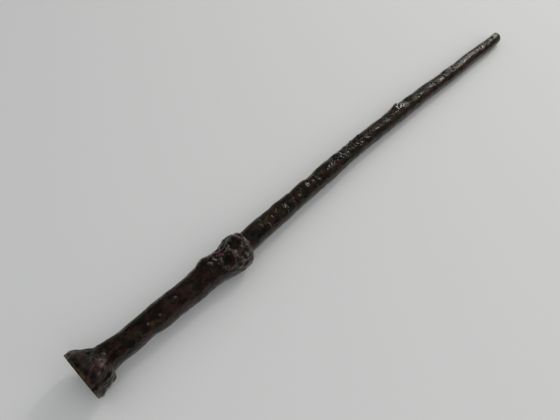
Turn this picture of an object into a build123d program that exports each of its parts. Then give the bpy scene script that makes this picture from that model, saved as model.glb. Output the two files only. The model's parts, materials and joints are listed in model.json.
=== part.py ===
"""A hand-made magic wand: a slightly bowed hardwood stick that carries a moulded handle and a built-up skin.

The wand lies where it was put down, with its pommel and its tip on the surface.
Row frame: +X runs from the butt to the tip, +Z is up, and the origin is on the surface under the wand's middle.
Everything is drawn in the wand's own frame, WAND: its Z runs along the wand from the butt face, its X points
sideways and its Y upwards, so that a "distance" is always millimetres from the butt.
"""

import os
from math import atan2, cos, degrees, radians, sin

from build123d import *

# Driving dimensions, in millimetres
LENGTH = 356.5  # butt face to the end of the tip
PLATE_THICKNESS = 1.2
POMMEL_RADIUS = 13.5
POMMEL_LENGTH = 14.0
POMMEL_FLAT = 12.7  # from the middle of the butt straight down to the flat that the pommel lies on
COLLAR_FRONT = 105.0
TIP_START = 350.0
TIP_RADIUS = 3.9
TIP_ROUNDING = 1.3
STICK_END = LENGTH - 0.3  # the stick's bare end stands just inside the rounded tip

# How the stick bows sideways: distance from the butt and offset
BOW = [
    (0, 0),
    (25, -0.6),
    (50, -0.5),
    (75, -0.6),
    (100, -0.3),
    (126, 1.5),
    (160, 1.8),
    (205, 3.4),
    (260, 2.45),
    (310, 0.85),
    (LENGTH, 0.4),
]

# Distance and radius along each piece
STICK = [
    (0, 4.2),
    (25, 4.15),
    (50, 4.1),
    (75, 4.0),
    (COLLAR_FRONT, 3.9),
    (126, 3.8),
    (145, 3.7),
    (165, 3.55),
    (185, 3.45),
    (205, 3.35),
    (230, 3.2),
    (260, 3.05),
    (290, 2.9),
    (320, 2.75),
    (TIP_START, 2.6),
    (STICK_END, 2.5),
]
GRIP = [(POMMEL_LENGTH, 7.5), (22, 6.9), (36, 6.6), (47, 7.3), (60, 7.2), (72, 7.5), (80, 7.9)]
COLLAR = [(80, 7.9), (86, 8.6), (92, 9.2), (99, 9.9), (103, 9.4), (COLLAR_FRONT, 7.6)]
WRAPS = [
    [(COLLAR_FRONT, 6.3), (120, 6.3), (135, 6.3), (144, 5.9)],
    [(144, 5.6), (155, 5.8), (161, 5.6)],
    [(161, 5.4), (173, 5.8), (183, 5.8), (191, 5.4)],
    [(191, 5.2), (203, 5.4), (213, 5.3)],
    [(213, 5.2), (230, 5.1), (244, 5.4), (252, 5.3)],
    [(252, 5.2), (270, 5.0), (290, 4.8)],
    [(290, 4.7), (312, 4.5), (332, 4.3), (TIP_START, TIP_RADIUS)],
]

# Angles are measured round the stick, from sideways (0) to straight up (90)
POMMEL_FACETS = [(-42, 13.0), (4, 13.2), (58, 12.9), (104, 13.1), (150, 12.9), (196, 13.1), (233, 12.8)]
LUMP_ANGLES = [70, 115, 160, 205, 250, 295, 340]
LUMP_DISTANCE, LUMP_RISE, LUMP_RADIUS = 10.8, 7.4, 2.6
SHOULDER_BUMP = (80, 30, 4.8, 4.5)  # distance, angle, height of the centre over the stick's middle, radius
KNOTS = {
    "knot_lower": (185, 70, 2.2, 4.3),
    "knot_large": (245, 58, 2.3, 4.5),
    "knot_upper": (296, 62, 2.0, 3.6),
}
BEADS = [
    (194, 60, 4.9, 1.2),
    (197.5, 84, 4.9, 1.1),
    (200.5, 48, 5.0, 1.3),
    (203.5, 74, 5.0, 1.1),
    (207, 52, 4.9, 1.2),
    (209.5, 82, 4.9, 1.0),
]
COIL_WIRE = 1.2  # radius of the rope-like coils on the collar
UPPER_COIL = (97.8, 95, 9.2, 4.0)  # distance, angle, height over the stick's middle, radius of the ring
LOWER_COIL = (89.8, 121, 8.7, 4.0)
FRONT_RING_RADIUS = 6.9
FRONT_RING_WIRE = 1.6

# The wand's own frame, laid down so that the pommel's flat and the tip's underside touch the surface
TILT = atan2(POMMEL_FLAT - TIP_RADIUS, LENGTH - TIP_ROUNDING)
BUTT_X = -178.07
BUTT_Y = 0.067
WAND = Plane(origin=(BUTT_X, BUTT_Y, POMMEL_FLAT), x_dir=(0, 1, 0), z_dir=(cos(TILT), 0, -sin(TILT)))

with BuildLine(WAND) as middle_line:
    Spline(*[(offset, 0, distance) for distance, offset in BOW])


def across(distance):
    """The plane square to the stick at a distance from the butt, with its origin in the stick's middle."""
    share = distance / BOW[-1][0]
    return Plane(origin=middle_line.line @ share, x_dir=(0, 1, 0), z_dir=middle_line.line % share)


def outward(distance, angle, rise):
    """The plane that faces straight out from the stick, rise above its middle, at an angle round it."""
    section = across(distance)
    out = section.x_dir * cos(radians(angle)) + section.y_dir * sin(radians(angle))
    return Plane(origin=section.origin + out * rise, x_dir=section.z_dir, z_dir=out)


def lofted(outline):
    """A round solid along the stick, through a circle at each distance."""
    with BuildPart() as solid:
        for distance, radius in outline:
            with BuildSketch(across(distance)):
                Circle(radius)
        loft()
    return solid


def sleeve(outline):
    """A round sleeve with the stick's own shape as its bore."""
    with BuildPart() as solid:
        add(lofted(outline).part)
        add(core_stick.part, mode=Mode.SUBTRACT)
    return solid


def ball_on(surfaces, distance, angle, rise, radius):
    """The part of a ball that stands out of the surfaces it was pressed on."""
    with BuildPart() as ball:
        with Locations(outward(distance, angle, rise)):
            Sphere(radius)
        for surface in surfaces:
            add(surface.part, mode=Mode.SUBTRACT)
    return ball


def ring_on(surfaces, distance, angle, rise, radius, wire):
    """The part of a coil of round section that stands out of the surfaces it was laid on."""
    with BuildPart() as ring:
        with Locations(outward(distance, angle, rise)):
            Torus(radius, wire)
        for surface in surfaces:
            add(surface.part, mode=Mode.SUBTRACT)
    return ring


def cut_facets():
    """Shaves the flats of the pommel's rim off the part being built, and the level one that it lies on."""
    with BuildSketch(Plane((BUTT_X, 0, 0), x_dir=(1, 0, 0), z_dir=(0, 0, -1))) as surface:
        Rectangle(4 * POMMEL_LENGTH, 4 * POMMEL_RADIUS)
    extrude(surface.sketch, amount=POMMEL_RADIUS, mode=Mode.SUBTRACT)
    for angle, depth in POMMEL_FACETS:
        flat = Plane(
            origin=WAND.origin,
            x_dir=WAND.z_dir,
            z_dir=WAND.x_dir * cos(radians(angle)) + WAND.y_dir * sin(radians(angle)),
        )
        with BuildSketch(flat.offset(depth)) as shaving:
            Rectangle(4 * POMMEL_LENGTH, 4 * POMMEL_RADIUS)
        extrude(shaving.sketch, amount=POMMEL_RADIUS, mode=Mode.SUBTRACT)


# The stick that runs through the whole wand, cut square where the butt plate closes it
with BuildPart() as core_stick:
    add(lofted(STICK).part)
    split(bisect_by=WAND.offset(PLATE_THICKNESS), keep=Keep.TOP)

# The flat plate that closes the butt
with BuildPart(WAND) as butt_plate:
    with BuildSketch(WAND):
        Circle(POMMEL_RADIUS)
    extrude(amount=PLATE_THICKNESS)
    chamfer(butt_plate.edges().filter_by(GeomType.CIRCLE).sort_by(SortBy.DISTANCE).first, 0.3)
    cut_facets()

grip_sleeve = sleeve(GRIP)

# The flared pommel, turned round the wand's axis and shaved to flats at its rim
POMMEL_OUTLINE = [(13.3, 1.2), (13.5, 2.4), (12.8, 5.0), (11.2, 8.0), (9.2, 11.0), (7.5, 14.0)]
with BuildPart() as pommel:
    with BuildSketch(Plane(origin=WAND.origin, x_dir=WAND.x_dir, z_dir=-WAND.y_dir)):
        with BuildLine():
            rim = Spline(*POMMEL_OUTLINE)
            Polyline(rim @ 1, (0, POMMEL_LENGTH), (0, PLATE_THICKNESS), rim @ 0)
        make_face()
    revolve(axis=Axis(WAND.origin, WAND.z_dir))
    cut_facets()
    add(core_stick.part, mode=Mode.SUBTRACT)
    add(grip_sleeve.part, mode=Mode.SUBTRACT)

collar_body = sleeve(COLLAR)
wraps = [sleeve(outline) for outline in WRAPS]

# The rounded tip: a short round nose with the stick's bare end in its middle
with BuildPart() as tip_cap:
    with BuildSketch(across(TIP_START)):
        Circle(TIP_RADIUS)
    extrude(amount=LENGTH - TIP_START)
    fillet(tip_cap.faces().sort_by(Axis(WAND.origin, WAND.z_dir)).last.edges(), TIP_ROUNDING)
    add(core_stick.part, mode=Mode.SUBTRACT)

# Pressed-on lumps and coils
with BuildPart() as pommel_lumps:
    for angle in LUMP_ANGLES:
        add(ball_on([pommel, grip_sleeve, core_stick], LUMP_DISTANCE, angle, LUMP_RISE, LUMP_RADIUS).part)

shoulder_bump = ball_on([grip_sleeve, collar_body, core_stick], *SHOULDER_BUMP)

with BuildPart() as bead_patch:
    for bead in BEADS:
        add(ball_on([wraps[3], core_stick], *bead).part)

knots = {name: ball_on([*wraps[2:7], core_stick], *size) for name, size in KNOTS.items()}

with BuildPart() as collar_front_ring:
    with Locations(across(COLLAR_FRONT)):
        Torus(FRONT_RING_RADIUS, FRONT_RING_WIRE)
    for neighbour in (collar_body, wraps[0], core_stick):
        add(neighbour.part, mode=Mode.SUBTRACT)

collar_coil_upper = ring_on([collar_body, collar_front_ring, core_stick], *UPPER_COIL, COIL_WIRE)
collar_coil_lower = ring_on([collar_body, collar_coil_upper, core_stick], *LOWER_COIL, COIL_WIRE)

pieces = {
    "core_stick": core_stick,
    "butt_plate": butt_plate,
    "pommel": pommel,
    "pommel_lumps": pommel_lumps,
    "grip_sleeve": grip_sleeve,
    "shoulder_bump": shoulder_bump,
    "collar_body": collar_body,
    "collar_coil_lower": collar_coil_lower,
    "collar_coil_upper": collar_coil_upper,
    "collar_front_ring": collar_front_ring,
    "bead_patch": bead_patch,
    "tip_cap": tip_cap,
    **{f"shaft_wrap_{number}": wrap for number, wrap in enumerate(wraps, start=1)},
    **knots,
}

os.makedirs("parts", exist_ok=True)
for name, piece in pieces.items():
    piece.part.label = name
    export_step(piece.part, f"parts/{name}.step")

whole = Compound(children=[piece.part for piece in pieces.values()]).bounding_box()
print(f"box {whole.min} to {whole.max}, tilt {degrees(TILT):.3f} degrees, butt at {WAND.origin}")
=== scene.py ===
import json
from itertools import product
from math import cos, pi, radians, sin, tan

import bpy
import numpy as np
from mathutils import Matrix, Vector
from numpy.polynomial import Polynomial


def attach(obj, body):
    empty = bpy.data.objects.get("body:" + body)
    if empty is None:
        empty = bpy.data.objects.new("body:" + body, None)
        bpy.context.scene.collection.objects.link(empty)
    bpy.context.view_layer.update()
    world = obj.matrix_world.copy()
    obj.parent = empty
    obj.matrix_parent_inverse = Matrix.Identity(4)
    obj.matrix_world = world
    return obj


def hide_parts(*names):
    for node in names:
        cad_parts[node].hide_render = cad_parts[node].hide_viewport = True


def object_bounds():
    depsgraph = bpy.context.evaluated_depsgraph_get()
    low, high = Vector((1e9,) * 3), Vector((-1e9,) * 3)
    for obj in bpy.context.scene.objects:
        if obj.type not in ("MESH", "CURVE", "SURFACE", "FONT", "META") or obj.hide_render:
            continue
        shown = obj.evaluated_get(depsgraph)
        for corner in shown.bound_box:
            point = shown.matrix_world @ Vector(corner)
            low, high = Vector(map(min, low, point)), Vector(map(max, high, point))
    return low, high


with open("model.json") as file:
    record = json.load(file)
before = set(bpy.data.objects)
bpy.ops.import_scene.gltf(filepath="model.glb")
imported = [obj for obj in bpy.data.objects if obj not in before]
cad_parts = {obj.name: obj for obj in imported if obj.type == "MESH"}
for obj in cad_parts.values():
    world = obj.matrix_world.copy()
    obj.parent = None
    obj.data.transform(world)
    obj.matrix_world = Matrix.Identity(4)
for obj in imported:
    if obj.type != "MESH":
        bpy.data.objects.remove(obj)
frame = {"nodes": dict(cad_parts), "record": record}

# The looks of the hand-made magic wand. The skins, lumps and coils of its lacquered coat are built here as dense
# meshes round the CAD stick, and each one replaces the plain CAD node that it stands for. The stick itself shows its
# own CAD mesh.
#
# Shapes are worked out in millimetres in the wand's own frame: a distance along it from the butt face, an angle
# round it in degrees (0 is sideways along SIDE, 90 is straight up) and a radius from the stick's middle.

cad_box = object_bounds()
MM = 0.001

# ---------------------------------------------------------------- the wand's own frame, read from the CAD model

BUTT_MOUNT = next(mount for mount in frame["record"]["mounts"] if mount["name"] == "butt_face")
BUTT = np.array(BUTT_MOUNT["pos_m"]) / MM
AXIS = -np.array(BUTT_MOUNT["axis"]) / np.linalg.norm(BUTT_MOUNT["axis"])
SIDE = np.array([0.0, 1.0, 0.0])
UP = np.cross(AXIS, SIDE)


def in_wand_frame(node):
    """A CAD node's vertices as distance, sideways and up, in millimetres."""
    mesh = frame["nodes"][node].data
    places = np.empty(len(mesh.vertices) * 3)
    mesh.vertices.foreach_get("co", places)
    return (places.reshape(-1, 3) / MM - BUTT) @ np.array([AXIS, SIDE, UP]).T


def reach(node):
    """The distances between which a CAD node lies."""
    distances = in_wand_frame(node)[:, 0]
    return distances.min(), distances.max()


def stick_lines():
    """The stick's sideways bow and its radius, as smooth functions of the distance."""
    places = in_wand_frame("core_stick")
    ends = np.empty(len(frame["nodes"]["core_stick"].data.edges) * 2, int)
    frame["nodes"]["core_stick"].data.edges.foreach_get("vertices", ends)
    tail, head = places[ends[0::2]], places[ends[1::2]]
    first, last = reach("core_stick")
    stations = np.linspace(first + 1, last - 1, STICK_SECTIONS)
    middles, radii = [], []
    for station in stations:
        crossing = (tail[:, 0] < station) != (head[:, 0] < station)
        a, b = tail[crossing], head[crossing]
        cut = a + (b - a) * ((station - a[:, 0]) / (b[:, 0] - a[:, 0]))[:, None]
        middles.append((cut[:, 1].min() + cut[:, 1].max()) / 2)
        radii.append((cut[:, 1].max() - cut[:, 1].min()) / 2)
    return Polynomial.fit(stations, middles, BOW_DEGREE), Polynomial.fit(stations, radii, TAPER_DEGREE)


STICK_SECTIONS, BOW_DEGREE, TAPER_DEGREE = 90, 11, 5
BOW, STICK_RADIUS = stick_lines()
LENGTH = reach("tip_cap")[1]


def at(distance, angle, radius):
    """Points in the row frame, in millimetres, at a distance, an angle in degrees and a radius."""
    distance, angle, radius = np.broadcast_arrays(distance, np.radians(angle), radius)
    side = BOW(np.clip(distance, 0, LENGTH)) + radius * np.cos(angle)
    up = radius * np.sin(angle)
    return BUTT + distance[..., None] * AXIS + side[..., None] * SIDE + up[..., None] * UP


def stick_radius(distance):
    """The stick's radius, level over the last two millimetres at each end."""
    return STICK_RADIUS(np.clip(distance, 2, LENGTH - 2))


# ---------------------------------------------------------------- shape tools


def noise(points, size, seed):
    """Smooth gradient noise from about -1 to 1, with lumps of about that size in millimetres."""
    chance = np.random.default_rng(seed)
    order = chance.permutation(256)
    slopes = chance.normal(size=(256, 3))
    slopes /= np.linalg.norm(slopes, axis=1, keepdims=True)
    cells = points / size
    corner = np.floor(cells).astype(int)
    part = cells - corner
    fade = part**3 * (part * (part * 6 - 15) + 10)
    total = np.zeros(points.shape[:-1])
    for step in product((0, 1), repeat=3):
        key = 0
        for axis in range(3):
            key = order[(key + corner[..., axis] + step[axis]) & 255]
        weight = np.prod(np.where(step, fade, 1 - fade), axis=-1)
        total += weight * np.sum(slopes[key] * (part - step), axis=-1)
    return total * 1.7


def rough(points, size, seed, layers=3):
    """Layered noise: each layer has half the size and half the height of the one before."""
    total = sum(noise(points, size / 2**layer, seed + layer) / 2**layer for layer in range(layers))
    return total / (2 - 0.5 ** (layers - 1))


def ridged(points, size, seed, layers=2):
    """Noise with sharp ridges at 1, and hollows that go down to about 0."""
    total = sum((1 - np.abs(noise(points, size / 2**layer, seed + layer))) / 2**layer for layer in range(layers))
    return total / (2 - 0.5 ** (layers - 1))


def through(stations, place):
    """A smooth curve through (place, value) pairs, level beyond its ends."""
    x, y = np.array(stations, float).T
    slope = np.gradient(y, x)
    place = np.clip(place, x[0], x[-1])
    i = np.clip(np.searchsorted(x, place) - 1, 0, len(x) - 2)
    width = x[i + 1] - x[i]
    t = (place - x[i]) / width
    start = (1 + 2 * t) * (1 - t) ** 2 * y[i] + t * (1 - t) ** 2 * width * slope[i]
    return start + t**2 * (3 - 2 * t) * y[i + 1] + t**2 * (t - 1) * width * slope[i + 1]


def ease(value, low, high):
    """0 below low, 1 above high, and smooth between."""
    t = np.clip((value - low) / (high - low), 0, 1)
    return t * t * (3 - 2 * t)


def around(angle, centre):
    """Degrees from centre to angle, the short way round."""
    return (angle - centre + 180) % 360 - 180


def spread(distance, angle, radius, mark_distance, mark_angle, length, width, turn=0):
    """How far a place at that radius is from a mark's middle, as 1 at its rim. The mark is length by width from its
    middle, turned by turn degrees from along the wand."""
    along = distance - mark_distance
    across = np.radians(around(angle, mark_angle)) * radius
    c, s = cos(radians(turn)), sin(radians(turn))
    return np.hypot((along * c + across * s) / length, (across * c - along * s) / width)


def dome(rho):
    """1 in the middle of a mark, and level with 0 at its rim."""
    return np.clip(1 - rho**2, 0, 1) ** 2


UPPER_SIDE = 26.4  # the angle that the first of each pair of radii belongs to; the second is opposite


def bare_radius(profile, distance, angle):
    """The radius without relief. The profile gives (distance, radius on the upper side, radius opposite)."""
    upper = through([(place, a) for place, a, b in profile], distance)
    lower = through([(place, b) for place, a, b in profile], distance)
    return (upper + lower) / 2 + (upper - lower) / 2 * np.cos(np.radians(angle - UPPER_SIDE))


# ---------------------------------------------------------------- marks on the surface

# (distance, angle, length, width, height, turn if any): lumps and hollows in the skins' own surface
MARKS = [
    # handle
    (4.5, 70, 3, 3.5, 0.5, 20), (6, 140, 3.6, 2.6, 0.6, -30), (3.5, 170, 2.4, 3.4, -0.6, 10),
    (7.5, 100, 2.8, 2.2, -0.5, 40), (5, 112, 2, 3.8, 0.4, -10), (8.5, 180, 2.4, 2.6, 0.6), (5, 200, 3, 3.4, -0.5, 30),
    (6.5, 40, 3, 3.4, -0.5), (20.6, 112, 3.4, 2.4, 0.22, 10), (38.4, 113, 1.5, 1.4, 0.55, 20),
    (42.1, 130, 4, 2, -0.18), (45.2, 114, 1.3, 1.2, 0.45, 70), (46.4, 126, 1.6, 0.9, 0.35, 60),
    (56.5, 98, 1.3, 1.2, 0.45, 45), (10.7, 118, 1.9, 1.8, 0.7), (13.2, 99, 1.6, 1.6, 0.6),
    (32.4, 129, 1.2, 1, 0.3, 30), (51.8, 120, 5.5, 3.4, 0.22), (64.6, 97, 3.4, 2.6, 0.25, -20),
    (29.5, 97, 4.2, 2.4, -0.2, 10), (33.4, 132, 2.6, 1.4, 0.18, 30), (68.3, 121, 3.6, 2.4, -0.22),
    (72.3, 100, 3, 2, 0.2, 30),
    # shoulder and collar
    (94.3, 102, 1.3, 1.1, 0.5), (94.8, 112, 1.2, 1.2, 0.5), (95, 126, 1.2, 1.1, 0.45), (96.8, 176, 1.8, 1.6, 0.6),
    (97, 152, 1.7, 1.4, 0.6), (99, 155, 1.4, 1.3, 0.5), (81.1, 84, 1.5, 1.3, 0.5), (84.3, 84, 1.4, 1.3, 0.5, 20),
    (82.3, 100, 1.6, 1.2, -0.35), (86.5, 71, 1.8, 1.5, -0.7), (79.8, 120, 2.4, 2, 0.3, 30), (84.6, 108, 1.6, 1.4, 0.4),
    (86.1, 130, 2, 1.6, -0.4), (89.9, 50, 2.2, 2.6, -0.9), (96.6, 44, 3.2, 2.6, 0.5), (97.9, 166, 2.4, 2.2, -0.9),
    (102.3, 175, 2.2, 2.6, 0.6), (95.7, 191, 2.6, 2.2, 0.5, 20), (93.4, 161, 2, 1.8, 0.5), (97.7, 131, 2.2, 2.4, -0.4),
    (101.1, 72, 1.8, 1.6, 0.5), (102, 215, 2.4, 2, -0.7), (98, 230, 2.6, 2.6, 0.6), (93, 260, 3, 2.6, -0.7),
    (100, 290, 3, 3, 0.6), (94, 330, 3.2, 2.6, 0.6), (101, 0, 2.8, 2.6, -0.8), (95, 15, 2.4, 2.2, -0.6),
    (88, 300, 3, 2.2, 0.5), (87, 220, 3.2, 2, 0.4),
    # shaft
    (110.2, 107, 3.2, 2.4, -0.2), (117.2, 95, 2.2, 1.2, 0.4, 60), (119.1, 75, 1.6, 1.3, 0.35, -40),
    (115.1, 117, 1.6, 1.1, 0.3, 20), (122.1, 131, 1, 1.2, 0.35), (124.5, 99, 3, 1.4, 0.28, -20),
    (128.1, 97, 2.4, 0.7, 0.4, 32), (129.8, 102, 2.4, 0.7, 0.4, 32), (132.1, 89, 1.6, 1.1, -0.35),
    (135.2, 102, 0.7, 3.6, 0.5, 6), (136.2, 134, 0.8, 1, 0.4), (138.2, 110, 2, 2.2, -0.3),
    (147.6, 113, 2.6, 1.4, 0.3, 50), (151.3, 84, 0.7, 1.8, 0.35, 10), (155.4, 85, 2.4, 1.4, 0.3),
    (160.5, 103, 2.6, 2.4, 0.3), (164.1, 92, 0.9, 2.2, 0.5, 12), (166.3, 112, 2, 1.6, -0.3),
    (171.7, 102, 3, 1.6, 0.25, 10), (183.5, 87, 1.5, 0.9, 0.55, 30), (185.5, 93, 1.2, 1, 0.5, -20),
    (187.3, 72, 1.3, 1, 0.4), (190.2, 125, 1.4, 0.8, 0.45, 20), (188.1, 107, 1.4, 0.9, -0.35),
    (192.9, 76, 3.6, 0.6, 0.5, -26), (195.7, 64, 3.2, 0.6, 0.45, -26), (200, 100, 1.5, 1.2, -0.55),
    (197.9, 87, 1.5, 1.1, -0.5), (203.3, 74, 1.3, 1.1, -0.6), (205.5, 96, 2.4, 1.2, 0.45, 10),
    (208.2, 80, 1.4, 0.9, 0.45, 30), (212.2, 83, 1.5, 1, 0.5, 20), (210.5, 68, 1.2, 1, -0.4),
    (215.3, 99, 3.8, 1.4, 0.2, 34), (222.1, 101, 2.6, 1.6, -0.15), (227.3, 89, 4.2, 1, 0.2, -30),
    (234.1, 87, 2.2, 1.1, 0.4, 16), (235.8, 101, 1.8, 1, 0.28, -20), (248.1, 80, 2.6, 1.1, 0.4, 10),
    (253.4, 88, 3.6, 2.2, -0.2), (260.8, 79, 2, 1, 0.25, 30), (262, 102, 2, 0.9, -0.3), (267, 68, 6, 0.7, 0.22),
    (269.3, 79, 6, 0.6, 0.2, 2), (274.3, 54, 5, 0.7, 0.2, -2), (278.6, 82, 2.6, 0.9, 0.35, 40),
    (279.9, 93, 2.4, 0.8, 0.35, 40), (278, 67, 3, 0.8, 0.3, 10), (289.9, 75, 2, 1.1, 0.4, 20),
    (294.2, 73, 1.8, 1, 0.4, -10), (296.8, 90, 2.6, 1.4, -0.25), (302.3, 65, 1.5, 1.1, 0.5),
    (299.9, 96, 1.1, 0.9, 0.4), (304.5, 85, 1.7, 1.1, 0.45, 20), (309.4, 54, 1.5, 1.1, -0.5, 30),
    (310.2, 70, 1.8, 0.8, 0.3, -30), (332.4, 79, 1.6, 1.2, 0.25), (337.7, 77, 1.8, 1.1, 0.3, -20),
    (334.3, 98, 2.4, 1.6, -0.2), (343, 74, 3, 1, -0.2),
    # pits in the butt's rim
    (1.9, 92, 1.2, 1.8, -0.7), (2.1, 150, 1.2, 2, -0.7), (1.8, 45, 1.1, 1.7, -0.6), (2, 194, 1.3, 1.8, -0.6),
    (2.4, 118, 1, 1.4, -0.5), (2.2, 70, 1, 1.2, -0.5),
    # bars beside the collar's hollows
    (93.4, 97, 2.8, 0.9, 0.5, 32), (95, 115, 1.1, 1.6, 0.45), (86.2, 96, 2, 0.8, 0.4, -35),
    (84.9, 89, 1.6, 0.8, 0.5, 40), (82, 88, 1.4, 0.8, 0.45, 40), (96.2, 150, 2.2, 0.9, 0.5, 30),
    (100, 144, 1.4, 1.6, 0.5), (92, 150, 2, 0.9, 0.45, 25),
]

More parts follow.
